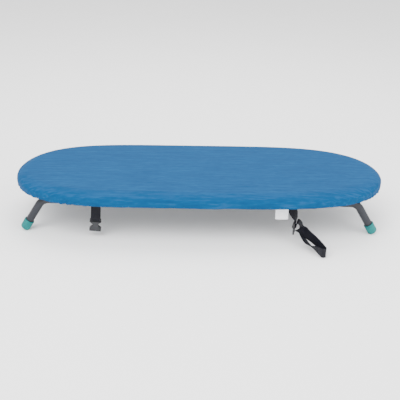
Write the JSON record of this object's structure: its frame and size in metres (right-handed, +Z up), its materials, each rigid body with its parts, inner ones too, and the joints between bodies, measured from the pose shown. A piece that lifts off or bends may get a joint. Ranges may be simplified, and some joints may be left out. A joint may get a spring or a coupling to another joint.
{
  "type": "table-top ironing board",
  "caption": "Padded table-top ironing board with rounded ends on two U-shaped legs that fold in under it, with a closing strap in two halves ending in a side-release buckle.",
  "frame": {"origin": "on the table under the middle of the board", "axes": "+X along the board to the right, +Y to the rear, +Z up"},
  "size_m": [0.7796, 0.363, 0.106],
  "materials": {
    "cover_cloth": "woven melange, matte",
    "foam": "open-cell foam",
    "elastic": "braided elastic",
    "deck_steel": "satin powder coat",
    "leg_paint": "satin powder coat",
    "foot_rubber": "matte rubber",
    "hinge_nylon": "matte",
    "zinc": "bright zinc",
    "webbing": "woven nylon webbing",
    "buckle_plastic": "satin moulded acetal",
    "label": "blank satin label"
  },
  "bodies": {
    "board": {"cover": "cover_cloth", "pad": "foam", "hem_elastic": "elastic", "deck_mesh": "deck_steel", "deck_rim": "deck_steel", "rail_centre": "deck_steel", "rail_left": "deck_steel", "rail_right": "deck_steel", "bush_left_front": "hinge_nylon", "bush_left_rear": "hinge_nylon", "saddle_left_front": "zinc", "saddle_left_rear": "zinc", "stop_pad_left_front": "hinge_nylon", "stop_pad_left_rear": "hinge_nylon", "screw_left_front_outer": "zinc", "screw_left_front_inner": "zinc", "screw_left_rear_outer": "zinc", "screw_left_rear_inner": "zinc", "rivet_left_1": "zinc", "rivet_left_2": "zinc", "anchor_plate_left": "zinc", "strap_left": "webbing", "bush_right_front": "hinge_nylon", "bush_right_rear": "hinge_nylon", "saddle_right_front": "zinc", "saddle_right_rear": "zinc", "stop_pad_right_front": "hinge_nylon", "stop_pad_right_rear": "hinge_nylon", "screw_right_front_outer": "zinc", "screw_right_front_inner": "zinc", "screw_right_rear_outer": "zinc", "screw_right_rear_inner": "zinc", "rivet_right_1": "zinc", "rivet_right_2": "zinc", "anchor_plate_right": "zinc", "strap_right": "webbing", "buckle_socket": "buckle_plastic", "buckle_plug": "buckle_plastic", "care_label": "label"},
    "leg_left": {"leg_left": "leg_paint", "foot_cap_left_front": "foot_rubber", "foot_cap_left_rear": "foot_rubber"},
    "leg_right": {"leg_right": "leg_paint", "foot_cap_right_front": "foot_rubber", "foot_cap_right_rear": "foot_rubber"},
    "prong_front": {"buckle_prong_front": "buckle_plastic"},
    "prong_rear": {"buckle_prong_rear": "buckle_plastic"}
  },
  "joints": [
    {"name": "leg_left_fold", "type": "hinge", "parent": "board", "child": "leg_left", "pos_m": [-0.27, 0, 0.068], "axis": [0, -1, 0], "range_deg": [0, 148]},
    {"name": "leg_right_fold", "type": "hinge", "parent": "board", "child": "leg_right", "pos_m": [0.27, 0, 0.068], "axis": [0, 1, 0], "range_deg": [0, 148]},
    {"name": "prong_front_squeeze", "type": "hinge", "parent": "board", "child": "prong_front", "pos_m": [0.1889, -0.13499, 0.0257], "axis": [0.9659, -0.2588, 0], "range_deg": [0, 10], "stiffness_Nm_per_rad": 0.3},
    {"name": "prong_rear_squeeze", "type": "hinge", "parent": "board", "child": "prong_rear", "pos_m": [0.1921, -0.12301, 0.0257], "axis": [-0.9659, 0.2588, 0], "range_deg": [0, 10], "stiffness_Nm_per_rad": 0.3}
  ]
}
